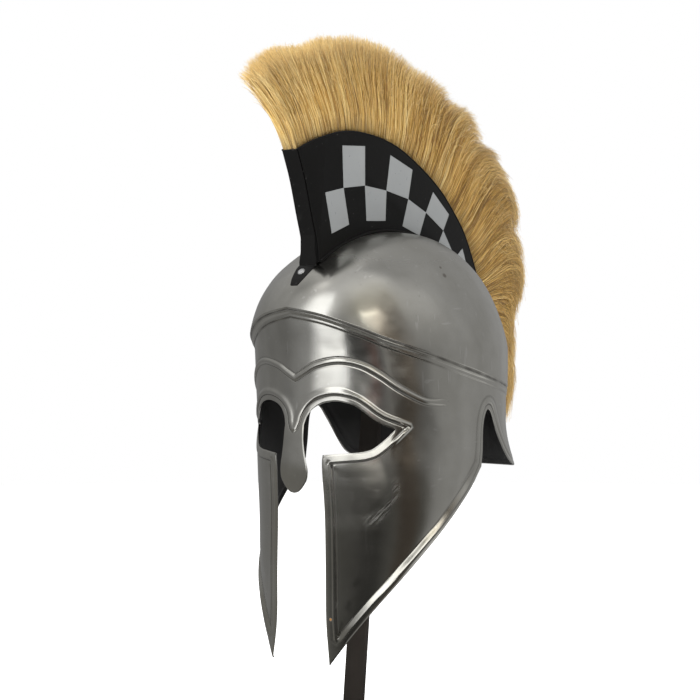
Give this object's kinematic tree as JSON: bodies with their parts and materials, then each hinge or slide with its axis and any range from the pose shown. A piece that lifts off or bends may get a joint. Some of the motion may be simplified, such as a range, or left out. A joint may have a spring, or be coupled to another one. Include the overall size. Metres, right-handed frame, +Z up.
{
  "type": "crested corinthian helmet on a display stand",
  "caption": "Steel Corinthian-style helmet with a checkered crest box and blond hair plume, held up by a flat post on a round stand.",
  "frame": {"origin": "centre of the stand's underside, on the table and straight under the helmet's upright axis", "axes": "+Z up, the face looks along -Y, +X is the wearer's left"},
  "size_m": [0.22, 0.3545, 0.6034],
  "materials": {
    "steel": "satin polished steel sheet, black inside",
    "black_paint": "satin black with pale grey checks",
    "rivet_metal": "dull",
    "hair": "coarse blond hair",
    "stand_metal": "dark brown-black satin paint",
    "stand_board": "dark brown-black satin paint"
  },
  "bodies": {
    "root": {"helmet_shell": "steel", "crest_panel_left": "black_paint", "crest_panel_right": "black_paint", "crest_front_plate": "black_paint", "crest_rear_plate": "black_paint", "crest_rivet": "rivet_metal", "plume": "hair", "stand_post": "stand_metal", "stand_cap": "stand_metal", "stand_foot": "stand_board"}
  },
  "joints": []
}
